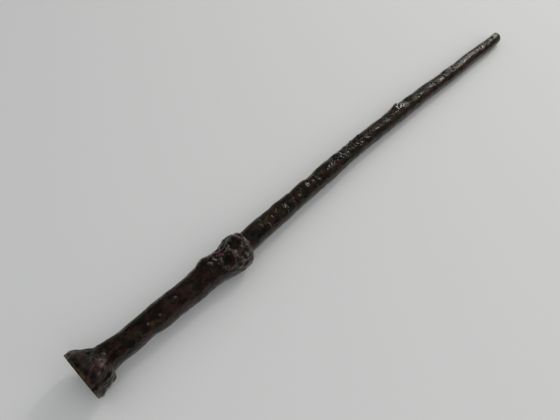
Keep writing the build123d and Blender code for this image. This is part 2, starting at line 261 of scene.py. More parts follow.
# colour: (distance, angle, length, width, strength, turn if any) of each place where it is rubbed in. Pale is mostly
# painted highlight, and cream is partly painted highlight. Dull isn't a colour, but lacquer that has lost its gloss.
TINTS = {
    "dark": [
        (3.2, 102, 2.6, 3.8, 0.9), (4.5, 146, 2.4, 3.2, 0.8), (5, 68, 3.6, 4.5, 0.9), (7, 50, 6.5, 6.5, 0.9),
        (8.6, 92, 2.8, 3.8, 0.9), (12.4, 80, 2.8, 4.5, 1), (19.5, 88, 3.4, 3, 0.7), (28, 134, 5, 2.4, 0.8),
        (35.4, 84, 3.2, 3.2, 0.9), (59.5, 122, 3, 2.6, 0.7), (70, 84, 4, 2.6, 0.7), (77.4, 125, 3.6, 3, 0.8),
        (77.7, 86, 3.2, 3.2, 0.8), (86, 92, 2.2, 2, 0.8), (109.9, 96, 4.4, 4.2, 1), (117.5, 126, 3, 2.2, 0.8),
        (139.7, 121, 3.4, 3.4, 0.9), (147, 82, 3.6, 2.2, 0.8), (166.3, 125, 3.8, 2.8, 0.9), (176.5, 82, 5, 2.4, 0.8),
        (190, 76, 4, 2, 0.8), (200.6, 80, 6.5, 3, 0.8), (220, 126, 4.2, 2.6, 0.7), (237.6, 92, 1.6, 3.6, 0.9),
        (254.5, 74, 7.5, 4.4, 1), (296.5, 116, 4, 1.8, 0.6), (306, 82, 4, 1.8, 0.9), (326, 138, 8, 1.8, 0.6),
    ],
    "red": [
        (0.8, 90, 1.6, 2, 0.9), (1.2, 140, 1.6, 2, 0.8), (4.5, 70, 4, 5, 0.7), (7.5, 122, 5, 5.5, 0.7),
        (21.1, 113, 3.2, 3.2, 0.95, 30), (34.4, 152, 6, 3, 0.5), (46.4, 122, 2.4, 2, 0.6), (52.8, 120, 8, 5, 0.7),
        (61.6, 130, 5, 4, 0.6), (65, 97, 3.6, 3, 0.9), (74.1, 119, 6, 4, 0.45), (79.8, 129, 4, 4, 0.5),
        (90.7, 151, 2.2, 2, 0.8), (92.2, 128, 3.4, 2.4, 0.6), (97.8, 129, 2.6, 2.4, 1), (110, 149, 3.6, 3, 0.5),
        (136.4, 98, 1.2, 2.6, 0.5), (147.6, 109, 3, 3.4, 0.7, 30), (155.8, 91, 3.6, 2.2, 0.6),
        (160.5, 101, 3.4, 3.4, 1), (181, 111, 5, 3.4, 0.9), (198, 83, 3, 2, 0.6), (210.6, 89, 3, 2, 0.7),
        (214.7, 101, 6, 3.6, 0.95, 25), (222.9, 76, 9, 3, 0.6, 10), (229.2, 91, 6, 2.4, 0.9, -20),
        (234.2, 115, 4, 2.2, 0.9),
    ],
    "olive": [
        (1, 60, 2.2, 9, 0.9), (1, 110, 2.4, 10, 0.8), (1, 165, 2.2, 9, 0.9), (28.4, 119, 5, 3.4, 0.45),
        (68.4, 133, 4, 2.4, 0.4), (95.1, 95, 2.4, 2.6, 0.5), (117.8, 91, 3.2, 3, 0.8, 30), (133.3, 121, 3, 3, 0.9, 20),
        (174.6, 130, 5, 2, 0.5), (186.6, 128, 4, 1.8, 0.6), (221, 109, 4, 2.4, 0.45), (239.4, 84, 2, 3.8, 1),
        (260, 75, 2.2, 2, 0.9), (263.6, 133, 6, 2, 0.4), (278, 85, 4, 3, 0.7, 30), (283.3, 111, 5, 2, 0.6),
        (328.1, 121, 5, 2.4, 0.5), (349.4, 109, 3.4, 6, 1), (351, 67, 3, 3, 0.7), (352.5, 140, 3.4, 3, 1),
    ],
    "gold": [
        (0.8, 60, 1.4, 4, 0.55), (0.9, 184, 1.4, 4, 0.6), (1, 118, 1.4, 3.4, 0.6), (40.6, 124, 2.2, 1.5, 0.8, 10),
        (43.1, 130, 1.6, 1, 0.4), (123.1, 95, 3.4, 1.8, 0.6, -30), (126.9, 115, 3, 2, 0.5, 30),
        (169, 94, 2.6, 1.6, 0.7), (171.6, 110, 4, 1.8, 0.4), (205.4, 103, 2.6, 1.4, 0.6), (234.4, 83, 2.4, 1.2, 0.5),
        (242.5, 125, 4, 1.6, 0.4), (257.9, 114, 3, 1.6, 0.6), (310.4, 135, 3.2, 1.8, 0.8), (335.1, 104, 3.4, 2, 0.5),
        (352.5, 150, 2.6, 2.4, 0.7),
    ],
    "violet": [
        (2.4, 132, 1.6, 2.6, 0.3), (8.6, 114, 1.8, 2.2, 0.35), (88.8, 78, 3.6, 1.8, 1, 32), (101.4, 166, 2.4, 2, 0.5),
        (101.6, 80, 1.6, 2.2, 0.35), (125.4, 123, 3.4, 2.6, 0.18), (269.6, 125, 3.8, 2.4, 0.5),
    ],
    # Painted highlights on lumps, ridges, the collar's front ring and the tip, with some pale pinkish paint round the
    # pommel's highlight.
    "pale": [
        (10.4, 119, 1.8, 1.8, 0.9), (11.5, 112, 3, 3.4, 0.5), (13.7, 100, 1.4, 1.4, 0.5), (38.4, 113, 1, 0.9, 0.7),
        (45.4, 115, 1, 0.8, 0.6, 60), (56.6, 98, 0.9, 0.8, 0.6), (82, 88, 1.2, 0.9, 0.6, 40),
        (85, 89, 1.5, 0.8, 0.7, 40), (93.4, 96, 2.6, 0.8, 0.9, 32), (95, 115, 0.9, 1.6, 0.8),
        (95.2, 127, 0.9, 1.4, 0.7), (95.8, 152, 1.3, 1.2, 0.7), (97, 140, 1, 1.3, 0.6), (100, 143, 1.2, 1.6, 0.6),
        (104.2, 126, 1.4, 2.2, 0.7), (105, 109, 1.6, 2.6, 1), (353.3, 83, 1.6, 3.6, 1),
    ],
    # Painted highlight on the tip's upper side, and the tip's pale end.
    "cream_and_highlight": [
        (352.6, 72, 3.4, 3.4, 1), (356.6, 90, 1.6, 4.4, 1),
    ],
    "dull": [
        (4, 160, 5, 8, 0.6), (5, 70, 6, 9, 0.9), (5.5, 90, 6, 13, 1), (6.5, 52, 7, 9, 1), (12, 80, 5, 5, 1),
        (18, 50, 10, 5, 1), (35.8, 94, 3.4, 3.6, 1), (38, 48, 14, 5, 0.8), (52.8, 114, 8, 5, 0.5),
        (60, 46, 14, 5, 0.8), (77.2, 88, 3, 3, 0.8), (77.9, 112, 3.4, 3, 0.8), (89.7, 120, 2.7, 2.7, 1),
        (97.8, 94, 3, 3, 0.9), (100, 48, 6, 5, 0.8), (110.4, 99, 4.5, 4, 1), (115, 52, 14, 5, 1),
        (116, 88, 9, 4.5, 0.6), (132, 52, 14, 5, 1), (139.7, 106, 3.4, 3.2, 1), (150, 52, 13, 4.6, 1),
        (165.9, 104, 3, 3.2, 1), (173, 52, 13, 4.4, 0.9), (200.4, 73, 6, 4, 0.6), (204, 74, 10, 4.6, 0.8),
        (205, 48, 14, 4, 0.9), (215, 82, 8, 5, 0.8), (218.2, 99, 3, 2.4, 0.8), (224.9, 76, 14, 4, 0.7),
        (226, 86, 9, 6, 0.9), (228, 50, 14, 4, 1), (235, 84, 10, 6, 0.9), (254.9, 69, 6.5, 4.5, 1), (257, 80, 8, 6, 1),
        (270, 84, 10, 6.5, 1), (282.3, 47, 20, 2.6, 0.5), (283, 78, 7, 5, 0.7), (295, 82, 7, 6, 0.9),
    ],
}

TINT_SIZE = 1.1  # times the sizes in the table
TINT_RADIUS = 6.5  # the coat's usual radius, which turns a tint's width into degrees
# The pale and cream colours stand mostly for painted highlights.
TINT_COLOURS = {
    "dark": (0.0012, 0.0010, 0.0008), "red": (0.029, 0.0112, 0.0098), "olive": (0.018, 0.018, 0.0085),
    "gold": (0.075, 0.044, 0.017), "violet": (0.080, 0.012, 0.036), "pale": (0.150, 0.115, 0.095),
    "cream_and_highlight": (0.300, 0.290, 0.200),
}

# (distance, angle, length, width, height): stretches of small sharp ridges, whose slopes catch the lamps
GLINTS = [
    (10.6, 118, 2, 2, 0.45), (13, 100, 1.6, 2.4, 0.3), (8, 134, 3, 3, 0.25), (39, 112, 2.2, 1.6, 0.4),
    (45.5, 118, 2.6, 2.4, 0.35), (56.5, 98, 1.8, 1.6, 0.35), (83, 96, 4, 4, 0.4), (94, 106, 3, 4, 0.5),
    (95, 135, 6, 5, 0.55), (99, 118, 3.4, 3.4, 0.5), (97, 155, 6, 5, 0.45), (102, 84, 3.4, 4, 0.5),
    (102, 140, 3, 5, 0.5), (93, 75, 3, 3, 0.4), (117, 96, 3, 3, 0.3), (121, 116, 3, 2.2, 0.35), (130, 84, 6, 3.4, 0.5),
    (134, 100, 3.4, 3.4, 0.45), (133.5, 122, 2.4, 2, 0.35), (147, 110, 2.4, 2.6, 0.35), (152.5, 84, 3, 3, 0.45),
    (160, 90, 6, 3.4, 0.5), (168, 86, 5, 2.6, 0.3), (182, 80, 6, 3.2, 0.55), (191, 88, 6, 4, 0.65),
    (203, 84, 8, 4, 0.6), (214, 88, 6, 3.4, 0.5), (226, 92, 5, 2.4, 0.2), (236, 86, 4, 3, 0.4), (247, 84, 3, 2.4, 0.3),
    (262, 88, 3, 1.8, 0.2), (279, 84, 5, 2.4, 0.3), (287, 90, 3, 2, 0.3), (301, 88, 4, 2.4, 0.5),
    (338, 96, 5, 2, 0.25), (350, 90, 3, 2.4, 0.3),
]
GLINT_SIZE = 1.3  # times the sizes in the table


def glint_relief(points, distance, angle, radius):
    """The height of the small sharp ridges at places on the surface."""
    share = np.zeros(np.shape(distance))
    for place, mark_angle, length, width, height in GLINTS:
        rho = spread(distance, angle, radius, place, mark_angle, length * GLINT_SIZE, width * GLINT_SIZE)
        share = np.maximum(share, height * dome(rho))
    return share * (1.6 * (ridged(points * np.array([0.8, 1, 1]), 2.3, 71) - 0.72) + 0.3 * noise(points, 0.9, 75))


def marks_relief(distance, angle, radius):
    """The height of all the marks at places on the surface."""
    total = np.zeros(np.shape(distance))
    for place, mark_angle, length, width, height, *turn in MARKS:
        total += height * dome(spread(distance, angle, radius, place, mark_angle, length, width, *turn))
    return total


def tint_masks(distance, angle):
    """For each tint, how strongly it is rubbed in at places on the surface. The pale and cream masks are mostly
    painted highlights.
    """
    masks = {}
    for colour, tints in TINTS.items():
        mask = np.zeros(np.shape(distance))
        for place, mark_angle, length, width, strength, *turn in tints:
            size = length * TINT_SIZE, width * TINT_SIZE
            rho = spread(distance, angle, TINT_RADIUS, place, mark_angle, *size, *turn)
            mask = np.maximum(mask, strength * dome(rho))
        masks[colour] = mask
    return masks


# ---------------------------------------------------------------- meshes


def make_piece(name, points, faces, relief, distance, angle, replaced, slot):
    """A mesh object from points in millimetres and lists of corners, in the lacquer of its slot, with its relief
    and tints stored for it."""
    low, high = np.array(cad_box) / MM
    points = np.clip(points.reshape(-1, 3), low, high)
    relief, distance, angle = relief.ravel(), distance.ravel(), angle.ravel()
    mesh = bpy.data.meshes.new(name)
    mesh.from_pydata((points * MM).tolist(), [], faces)
    mesh.validate()
    mesh.polygons.foreach_set("use_smooth", np.ones(len(mesh.polygons), bool))
    masks = tint_masks(distance, angle)
    masks["relief"] = relief
    for key, values in masks.items():
        mesh.attributes.new(key, "FLOAT", "POINT").data.foreach_set("value", values.astype(np.float32))
    piece = bpy.data.objects.new(name, mesh)
    bpy.context.scene.collection.objects.link(piece)
    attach(piece, "root")
    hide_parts(replaced)
    mesh.materials.append(MATERIALS[slot])


def loop_faces(rows, columns, close_rows):
    """Quads between neighbouring rows of points, each row a closed ring. The last row can close on the first."""
    row = np.arange(rows if close_rows else rows - 1)[:, None]
    column = np.arange(columns)[None, :]
    after, beside = (row + 1) % rows, (column + 1) % columns
    quads = [row * columns + column, row * columns + beside, after * columns + beside, after * columns + column]
    return np.stack(quads, axis=-1).reshape(-1, 4)


def capped_faces(rows, columns):
    """The faces of a solid of rings, each row a closed ring, with a flat cap on its first and last."""
    last = (rows - 1) * columns
    caps = [list(range(columns)), list(range(last, last + columns))[::-1]]
    return loop_faces(rows, columns, close_rows=False)[:, ::-1].tolist() + caps


class Skin:
    """One layer of the coat: a sleeve on the stick with its own outline, ends and roughness. Its rear end can be
    tucked in under the layer behind it by so many millimetres, and its front end can be rounded to a lip."""

    STEP = 0.3  # between neighbouring points, in millimetres
    TUCK_LENGTH = 1.6  # how far the rear end reaches in under the layer behind it
    LIP_ROWS, BORE_ROWS = 6, 12
    BORE_GAP = 0.02  # between the bore and the stick

    def __init__(self, node, slot, profile, texture, rear=(0, 0, 0), front=(0, 0, 0), tuck=0.0, lip=0.0):
        self.node, self.slot, self.profile, self.texture = node, slot, profile, texture
        self.start, self.end = reach(node)
        self.rear, self.front, self.tuck, self.lip = rear, front, tuck, lip

    def edge(self, place, shape, angle):
        """The distance of an end at an angle. Its shape says how far it leans, towards which angle, and how far it
        wanders."""
        lean, lean_angle, wander = shape
        angle = np.asarray(angle, float)
        ring = at(place, angle, 6.0)
        return place + lean * np.cos(np.radians(angle - lean_angle)) + wander * noise(ring, 3.2, int(place))

    def radius(self, distance, angle):
        """The outer radius at places on this skin, and the relief that it holds."""
        bare = bare_radius(self.profile, distance, angle)
        relief = self.texture(at(distance, angle, bare), distance, angle)
        relief = relief + marks_relief(distance, angle, bare)
        relief = relief + glint_relief(at(distance, angle, bare), distance, angle, bare)
        return bare + relief, relief

    def build(self):
        """Makes the layer: its outer surface from end to end, and its bore from the front end back."""
        girth = 2 * np.pi * max(max(a, b) for place, a, b in self.profile)
        columns = int(girth / self.STEP)
        angle = np.linspace(0, 360, columns, endpoint=False)
        start = self.edge(self.start, self.rear, angle) - (self.TUCK_LENGTH if self.tuck else 0)
        end = self.edge(self.end, self.front, angle)
        rows = int((self.end - self.start) / self.STEP)
        share = np.linspace(0, 1, rows)[:, None]
        if self.lip:
            from_end = np.linspace(1, 0, self.LIP_ROWS)[:, None] * self.STEP / (self.end - self.start)
            share = np.concatenate([share[:-1], 1 - from_end])
        distance = start + (end - start) * share
        angles = np.broadcast_to(angle, distance.shape)
        outer, relief = self.radius(distance, angles)
        if self.tuck:
            outer = outer - self.tuck * (1 - ease(distance - start, 0.6, 2.4))
        if self.lip:
            fall = np.clip(1 - (end - distance) / self.lip, 0, 1)
            outer = outer - self.lip * 1.1 * (1 - np.sqrt(1 - 0.98 * fall**2))
            # The lip's rim counts as high and takes the rubbed colour: a pale edge, partly wear and partly painted
            # highlight.
            relief = relief + 0.5 * np.clip(fall * 2, 0, 1) * (fall < 0.7)
        bore_distance = start + (end - start) * np.linspace(1, 0, self.BORE_ROWS)[:, None]
        bore = stick_radius(bore_distance) + self.BORE_GAP
        all_distance = np.concatenate([distance, bore_distance])
        all_radius = np.concatenate([outer, bore])
        all_angle = np.concatenate([angles, np.broadcast_to(angle, bore_distance.shape)])
        all_relief = np.concatenate([relief, np.full(bore_distance.shape, -1.0)])
        points = at(all_distance, all_angle, all_radius)
        faces = loop_faces(len(all_distance), columns, close_rows=True)[:, ::-1].tolist()
        make_piece(self.node + "_skin", points, faces, all_relief, all_distance, all_angle, self.node, self.slot)


# ---------------------------------------------------------------- textures of the skins

HOLLOWS = [(89.7, 120, 2.9), (97.8, 94, 3.1)]  # distance, angle and radius of the collar's two round hollows


def craggy(points, distance, angle):
    """The pommel: broken facets and ridges, quieter where it runs out on to the grip."""
    strength = (0.35 + 0.65 * ease(distance, 0.4, 2.4)) * (1 - 0.75 * ease(distance, 11.0, 14.0))
    step = 0.7 * ease(distance, 9.0, 12.0) * (1 - ease(distance, 12.5, 13.3)) * dome(around(angle, 205) / 60)
    return strength * (1.3 * (ridged(points, 6.0, 11) - 0.72) + 0.30 * (ridged(points, 3.0, 17) - 0.7)) + step


def smooth_lumpy(points, distance, angle):
    """The grip: soft lumps left by fingers, with a few finer ones, and lengthwise strands below."""
    below = ease(np.abs(around(angle, 205)), 75, 30)
    strands = below * (ridged(points * np.array([0.45, 1, 1]), 2.0, 23) - 0.7)
    lumps = 0.22 * rough(points, 8.0, 21) + 0.16 * rough(points, 3.6, 25, 2) + 0.05 * noise(points, 1.3, 29)
    return lumps + 0.45 * strands


def burled(points, distance, angle):
    """The collar: close knobbly ridges, stronger towards the front and round the two hollows."""
    knobs = 0.75 * (ridged(points, 4.2, 31) - 0.72) + 0.2 * noise(points, 1.7, 37)
    relief = (0.35 + 0.65 * ease(distance, 84, 94)) * knobs
    for middle, middle_angle, size in HOLLOWS:
        rho = spread(distance, angle, 9.5, middle, middle_angle, size, size)
        relief = relief * ease(rho, 0.6, 1.1) - 0.35 * (1 - ease(rho, 0.7, 1.1)) + 0.45 * dome((rho - 1.42) / 0.6)
    return relief


def bark(points, distance, angle):
    """The shaft: lengthwise grain over soft lumps."""
    grain = 0.22 * (ridged(points * np.array([0.28, 1, 1]), 1.9, 41) - 0.7)
    return grain + 0.18 * rough(points, 7.0, 45) + 0.22 * rough(points * np.array([0.6, 1, 1]), 3.2, 47, 3)


def rough_bark(points, distance, angle):
    """The roughest stretch of the shaft."""
    on_top = 0.3 + 0.7 * dome(around(angle, 74) / 80)
    ridges = 0.75 * (ridged(points, 3.0, 51) - 0.74) + 0.15 * noise(points, 1.2, 55)
    return bark(points, distance, angle) + on_top * ridges


def fine_bark(points, distance, angle):
    """The slim end of the shaft, smoothed by wear."""
    grain = 0.09 * (ridged(points * np.array([0.2, 1, 1]), 1.6, 61) - 0.7)
    return grain + 0.14 * rough(points, 5.0, 65) + 0.14 * rough(points * np.array([0.6, 1, 1]), 2.2, 67, 3)


POMMEL = Skin(
    "pommel", "handle_lacquer",
    [
        (1.2, 13.1, 13.8), (2.5, 13.1, 13.9), (4.3, 12.6, 13.2), (6.1, 11.7, 12.5), (8, 10.4, 11.8), (9.6, 9.4, 10.8),
        (12, 8.2, 9.1), (13.4, 7.7, 7.9), (15, 7.2, 7.1),
    ],
    craggy, front=(0.3, 100, 0.9), lip=0.4,
)
GRIP = Skin(
    "grip_sleeve", "handle_lacquer",
    [
        (13, 7.9, 8), (16, 7.25, 7.1), (20, 6.9, 6.7), (25, 6.5, 7), (32, 6.7, 6.75), (36, 6.8, 6.3), (42, 7.1, 6.95),
        (48, 7.35, 7.35), (54, 7.4, 7.05), (62, 7.1, 7.3), (68, 7.2, 7.6), (74, 7.8, 7.6), (82, 8.3, 7.8),
    ],
    smooth_lumpy, tuck=0.5,
)
COLLAR = Skin(
    "collar_body", "collar_lacquer",
    [
        (78, 8.3, 7.7), (84, 8.4, 8.3), (87.5, 8, 9.1), (90.5, 7.7, 9.8), (95, 9, 10.5), (99.5, 9.4, 10.7),
        (102.5, 8.7, 10.2), (104.5, 7.4, 8.6), (106, 6.9, 7),
    ],
    burled, rear=(0.8, 26, 0.8), tuck=0.5, lip=0.6,
)

# (lean, lean angle, wander) of the step behind each layer of the shaft, and of the last layer's front end
STEPS = [
    (0, 0, 0), (1.8, 26, 1), (2.2, 206, 1), (1.4, 26, 0.9), (1.8, 206, 1.2), (1.4, 26, 0.8), (1.6, 206, 0.8),
    (0, 0, 0),
]
# (texture, tuck, lip, profile) of each layer of the shaft
SHAFT = [
    (bark, 0.3, 0.5, [
        (105, 6.3, 6.4), (110, 6.2, 6.4), (116, 6.45, 6.2), (121, 6.35, 6.25), (126, 6.2, 6.1), (130, 5.95, 6.15),
        (135, 6.3, 6.3), (140, 6, 6.05), (146, 5.7, 6.1),
    ]),
    (bark, 0.4, 0.45, [
        (142, 5.2, 5.9), (146, 5.35, 6), (152, 5.85, 5.8), (156, 6, 5.7), (160, 5.6, 5.75), (164, 5.4, 5.8),
    ]),
    (bark, 0.4, 0.4, [
        (159, 5.1, 5.7), (165, 5.25, 5.85), (170, 5.75, 5.75), (176, 5.9, 5.85), (180, 5.7, 5.8), (185, 5.8, 5.5),
        (190, 5.5, 5.3), (194, 5.4, 5.3),
    ]),
    (rough_bark, 0.3, 0.4, [
        (188, 5.2, 5.1), (195, 5.35, 5.2), (200, 5.35, 5.3), (206, 5.5, 5.2), (210, 5.45, 5.25), (215, 5.25, 5.4),
    ]),
    (bark, 0.3, 0.35, [
        (210, 5.1, 5.3), (217, 5.2, 5.5), (221, 5.05, 5.6), (226, 4.85, 5.6), (232, 4.7, 5.65), (237, 4.9, 5.6),
        (241, 5.2, 5.6), (245, 5.4, 5.65), (253, 5.25, 5.4),
    ]),
    (fine_bark, 0.3, 0.3, [
        (249, 5.1, 5.3), (256, 5.4, 5.35), (262, 5.15, 5.2), (267, 5.2, 4.95), (273, 5.35, 4.75), (279, 5.1, 4.85),
        (285, 4.85, 4.7), (292, 4.8, 4.65),
    ]),
    (fine_bark, 0.3, 0.3, [
        (287, 4.65, 4.6), (295, 4.9, 4.75), (302, 4.75, 4.65), (309, 4.5, 4.7), (316, 4.7, 4.45), (322, 4.7, 4.45),
        (330, 4.5, 4.3), (337, 4.4, 4.35), (342, 4.15, 4.3), (351, 3.8, 3.9),
    ]),
]
ALL_SKINS = [POMMEL, GRIP, COLLAR] + [
    Skin(f"shaft_wrap_{number + 1}", "shaft_lacquer", profile, texture, STEPS[number], STEPS[number + 1], tuck, lip)
    for number, (texture, tuck, lip, profile) in enumerate(SHAFT)
]


def surface(distance, angle):
    """The radius of the coat at places on it."""
    distance, angle = np.broadcast_arrays(np.asarray(distance, float), np.asarray(angle, float))
    out = np.zeros(distance.shape)
    for skin in ALL_SKINS:
        out = np.where(distance >= skin.start, skin.radius(distance, angle)[0], out)
    return out


def blister(distance, angle, length, width, height, turn, seed, shave=None):
    """A lump pressed on the coat: a closed shell whose rim dips just under the surface round it. Shave is the flat
    cut across it: the angle it faces, and its distance from the stick's middle."""
    rings, columns = 24, 72
    share = np.linspace(0, 1, rings + 1)[1:, None]
    phi = np.linspace(0, 2 * np.pi, columns, endpoint=False)[None, :]
    outline = 1 + 0.13 * np.sin(2 * phi + seed) + 0.08 * np.sin(3 * phi + 2 * seed)
    rho = share * np.ones_like(phi)
    along, across = length * rho * outline * np.cos(phi), width * rho * outline * np.sin(phi)
    c, s = cos(radians(turn)), sin(radians(turn))
    base = float(surface(distance, angle))
    d = distance + along * c - across * s
    a = angle + np.degrees((along * s + across * c) / base)
    d, a, rho = (np.concatenate([[centre], grid.ravel()]) for centre, grid in ((distance, d), (angle, a), (0.0, rho)))
    ground = surface(d, a)
    bumps = noise(at(d, a, ground), max(length, width) * 0.6, seed + 70) * 0.22
    relief = height * dome(rho) * (1 + bumps)
    if shave:
        flat = shave[1] / np.maximum(np.cos(np.radians(a - shave[0])), 0.3) + 0.10 * noise(at(d, a, ground), 1.5, seed)
        relief = np.minimum(relief, np.maximum(flat - ground, 0.02))
    top = at(d, a, ground + relief - 0.12 * rho**3)
    bottom = at(d, a, np.maximum(ground - 0.9, stick_radius(d) + 0.1))
    count = 1 + rings * columns
    points = np.concatenate([top, bottom])
    row = np.arange(rings - 1)[:, None] * columns + 1
    column = np.arange(columns)[None, :]
    beside = (column + 1) % columns
    quads = np.stack([row + column, row + columns + column, row + columns + beside, row + beside], -1).reshape(-1, 4)
    last = 1 + (rings - 1) * columns
    faces = [*quads.tolist(), *(quads[:, ::-1] + count).tolist()]
    for i in range(columns):
        j = (i + 1) % columns
        faces.append([0, 1 + i, 1 + j])
        faces.append([count, count + 1 + j, count + 1 + i])
        faces.append([last + i, count + last + i, count + last + j, last + j])
    return points, faces, np.concatenate([0.3 * relief, np.full(count, -1.0)]), np.tile(d, 2), np.tile(a, 2)


def blisters(node, slot, lumps):
    """One piece of several lumps, each given as the values that blister takes."""
    shells = [blister(*lump) for lump in lumps]
    points, relief, distance, angle = (np.concatenate([shell[part] for shell in shells]) for part in (0, 2, 3, 4))
    size = len(shells[0][0])
    faces = [[corner + i * size for corner in face] for i, shell in enumerate(shells) for face in shell[1]]
    make_piece(node + "_relief", points, faces, relief, distance, angle, node, slot)


def rope(node, slot, middle_distance, middle_angle, middle_radius, wire, seed):
    """A closed lumpy tube along a ring of points given by distance, angle and radius arrays."""
    middle = at(middle_distance, middle_angle, middle_radius)
    along = np.roll(middle, -1, axis=0) - np.roll(middle, 1, axis=0)
    along /= np.linalg.norm(along, axis=1, keepdims=True)
    out = np.cos(np.radians(middle_angle))[:, None] * SIDE + np.sin(np.radians(middle_angle))[:, None] * UP
    across = np.cross(along, out)
    across /= np.linalg.norm(across, axis=1, keepdims=True)
    out = np.cross(across, along)
    columns = 26
    turn = np.linspace(0, 2 * np.pi, columns, endpoint=False)
    offset = np.cos(turn)[None, :, None] * out[:, None] + np.sin(turn)[None, :, None] * across[:, None]
    tube = middle[:, None] + wire * offset
    relief = 0.34 * wire * rough(tube, 3.0, seed, 2) + 0.10 * wire * noise(tube, 0.9, seed + 9)
    tube = tube + relief[..., None] * offset
    distance = np.broadcast_to(middle_distance[:, None], relief.shape)
    angle = np.broadcast_to(middle_angle[:, None], relief.shape)
    # The coil's outer side counts as high and takes the rubbed colour; its underside counts as a hollow and is
    # darkened as painted shade.
    high = relief + 0.3 * wire * np.cos(turn)[None, :]
    faces = loop_faces(len(middle), columns, close_rows=True).tolist()
    make_piece(node + "_relief", tube, faces, high, distance, angle, node, slot)


COLLAR_RADIUS = 9.6  # the collar's usual radius, which turns a coil's width into degrees


def coil(node, distance, angle, radius, squash, lean, wire, lift, seed):
    """A coil laid on the collar round a hollow. Squash is its width over its length, lean is the angle between its
    length and the wand, and lift is the height of its middle over the collar."""
    phi = np.linspace(0, 2 * np.pi, 200, endpoint=False)
    size = radius * (1 + 0.10 * np.sin(2 * phi + seed) + 0.05 * np.sin(5 * phi + seed))
    along, across = size * np.cos(phi), squash * size * np.sin(phi)
    c, s = cos(radians(lean)), sin(radians(lean))
    d = distance + along * c - across * s
    a = angle + np.degrees((along * s + across * c) / COLLAR_RADIUS)
    rope(node, "collar_lacquer", d, a, surface(d, a) + lift, wire, seed)


# ---------------------------------------------------------------- materials


class Lacquer:
    """A procedural lacquer, with small helpers that add its nodes."""

    def __init__(self, name):
        self.material = bpy.data.materials.new(name)
        self.material.use_nodes = True
        self.nodes, self.links = self.material.node_tree.nodes, self.material.node_tree.links
        self.shader = self.nodes["Principled BSDF"]
        self.place = self.node("ShaderNodeTexCoord").outputs["Object"]

    def node(self, kind, **settings):
        """A new node with its settings."""
        made = self.nodes.new(kind)
        for key, value in settings.items():
            setattr(made, key, value)
        return made

    def feed(self, socket, value):
        """Puts a link, a colour or a number into a socket."""
        if isinstance(value, bpy.types.NodeSocket):
            self.links.new(value, socket)
        else:
            socket.default_value = (*value, 1) if isinstance(value, tuple) else value

    def maths(self, operation, first, second, clamp=False):
        made = self.node("ShaderNodeMath", operation=operation, use_clamp=clamp)
        self.feed(made.inputs[0], first)
        self.feed(made.inputs[1], second)
        return made.outputs[0]

    def mixed(self, share, first, second):
        """The first colour, turned into the second by a share from 0 to 1."""
        made = self.node("ShaderNodeMix", data_type="RGBA")
        self.feed(made.inputs["Factor"], share)
        self.feed(made.inputs[6], first)
        self.feed(made.inputs[7], second)
        return made.outputs[2]

    def cloud(self, scale, offset, stretch=0.5, detail=3.0):
        """Noise in the wand's own space, drawn out along it."""
        mapping = self.node("ShaderNodeMapping")
        mapping.inputs["Scale"].default_value = (stretch, 1, 1)
        mapping.inputs["Location"].default_value = (offset, 0.7 * offset, 0.4 * offset)
        self.links.new(self.place, mapping.inputs["Vector"])
        texture = self.node("ShaderNodeTexNoise")
        texture.inputs["Scale"].default_value = scale
        texture.inputs["Detail"].default_value = detail
        texture.inputs["Roughness"].default_value = 0.6
        self.links.new(mapping.outputs[0], texture.inputs["Vector"])
        return texture.outputs["Fac"]

    def between(self, value, low, high):
        """0 where the value is below low, and 1 where it is above high."""
        made = self.node("ShaderNodeMapRange", clamp=True, interpolation_type="SMOOTHSTEP")
        made.inputs["From Min"].default_value = low
        made.inputs["From Max"].default_value = high
        self.links.new(value, made.inputs["Value"])
        return made.outputs[0]

    def stored(self, key):
        """A value that make_piece stored on the mesh."""
        return self.node("ShaderNodeAttribute", attribute_name=key).outputs["Fac"]

    def bump(self, height, strength, distance, socket):
        made = self.node("ShaderNodeBump")
        made.inputs["Strength"].default_value = strength
        made.inputs["Distance"].default_value = distance
        self.links.new(height, made.inputs["Height"])
        self.links.new(made.outputs[0], self.shader.inputs[socket])


# (tint, scale, offset, low, high): the broad stains in every lacquer, where noise rises from low to high
STAINS = [("red", 230, 1, 0.50, 0.60), ("olive", 270, 2, 0.53, 0.63), ("dark", 330, 4, 0.52, 0.62)]
STAIN_STRENGTH = 0.65


